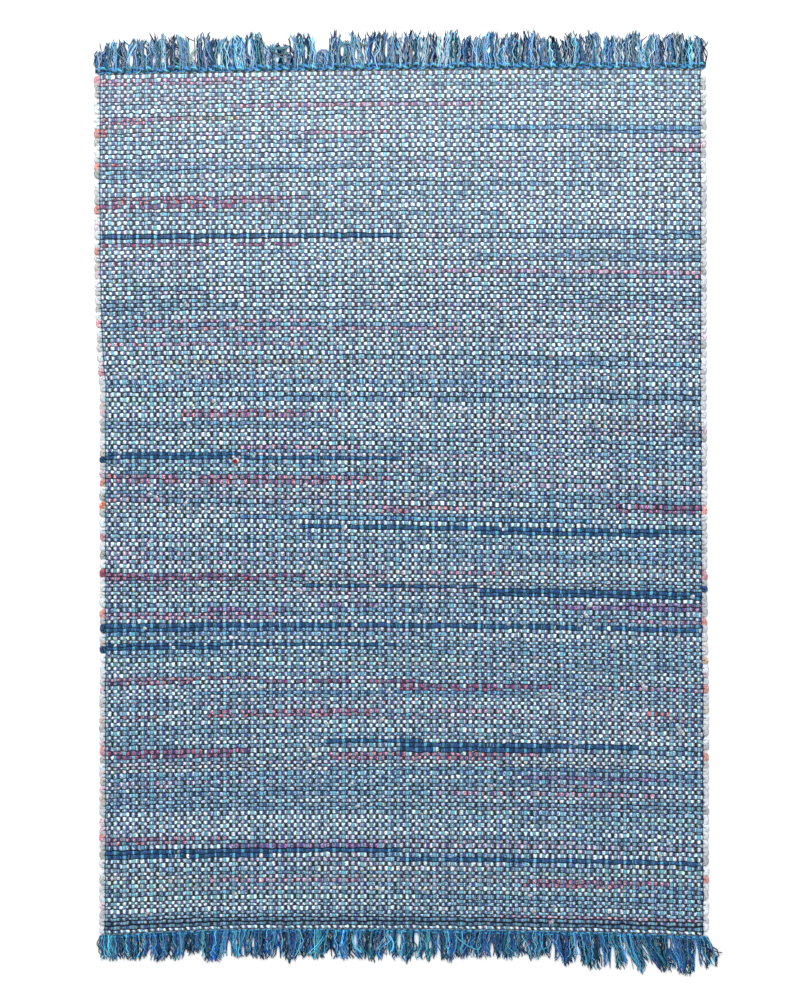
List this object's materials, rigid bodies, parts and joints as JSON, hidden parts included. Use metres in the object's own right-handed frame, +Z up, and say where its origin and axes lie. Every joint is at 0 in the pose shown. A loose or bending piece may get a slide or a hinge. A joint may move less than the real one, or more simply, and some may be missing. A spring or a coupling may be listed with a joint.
{
  "type": "cotton rug",
  "caption": "Flat plain-woven rag rug in blue, turquoise and off-white cotton, with rag-loop long edges, a twined blue heading and a loose wavy fringe at each short end.",
  "frame": {"origin": "middle of the flat underside, on the floor", "axes": "+X across the rug to the right, +Y along its length towards the head end, +Z up out of its face"},
  "size_m": [1.4223, 2.1479, 0.0065],
  "materials": {
    "rag_weave": "matte woven cotton rag",
    "blue_warp_yarn": "matte plied cotton yarn"
  },
  "bodies": {
    "root": {"rug_body": "rag_weave", "fringe_head": "blue_warp_yarn", "fringe_foot": "blue_warp_yarn"}
  },
  "joints": []
}
